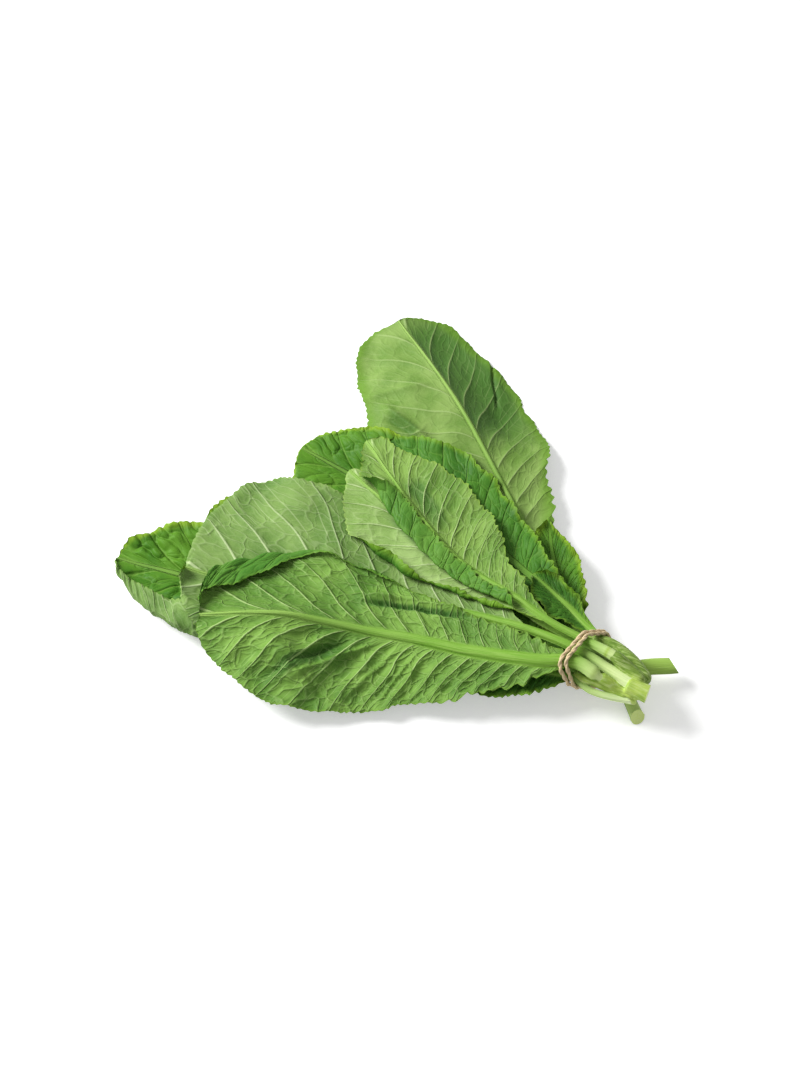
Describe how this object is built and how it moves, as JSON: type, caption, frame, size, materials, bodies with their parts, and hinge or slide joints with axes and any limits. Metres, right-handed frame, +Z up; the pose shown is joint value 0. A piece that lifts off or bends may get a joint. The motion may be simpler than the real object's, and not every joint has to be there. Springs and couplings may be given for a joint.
{
  "type": "mustard greens bunch",
  "caption": "Tied bunch of broad mustard green leaves lying flat, pale stalks held by a twine tie near the cut ends.",
  "frame": {"origin": "centre of the bunch's bounding box, on the surface it lies on", "axes": "+X towards the cut ends, +Y across the surface towards the longest back leaf, +Z up"},
  "size_m": [0.3568, 0.3078, 0.0449],
  "materials": {
    "leaf": "soft matte leaf",
    "leaf_dark": "satin leaf",
    "crown": "moist cut stem",
    "jute": "hairy matte twine"
  },
  "bodies": {
    "root": {"leaf_top": "leaf", "leaf_curl_right": "leaf", "leaf_back_centre": "leaf", "leaf_left_back": "leaf", "leaf_left_tip": "leaf", "leaf_under_front": "leaf_dark", "leaf_dark_band": "leaf_dark", "leaf_curl_low": "leaf_dark", "leaf_left_large": "leaf", "leaf_small_folded": "leaf", "leaf_middle": "leaf", "leaf_front": "leaf", "stump": "crown", "twine_tie": "jute"}
  },
  "joints": []
}
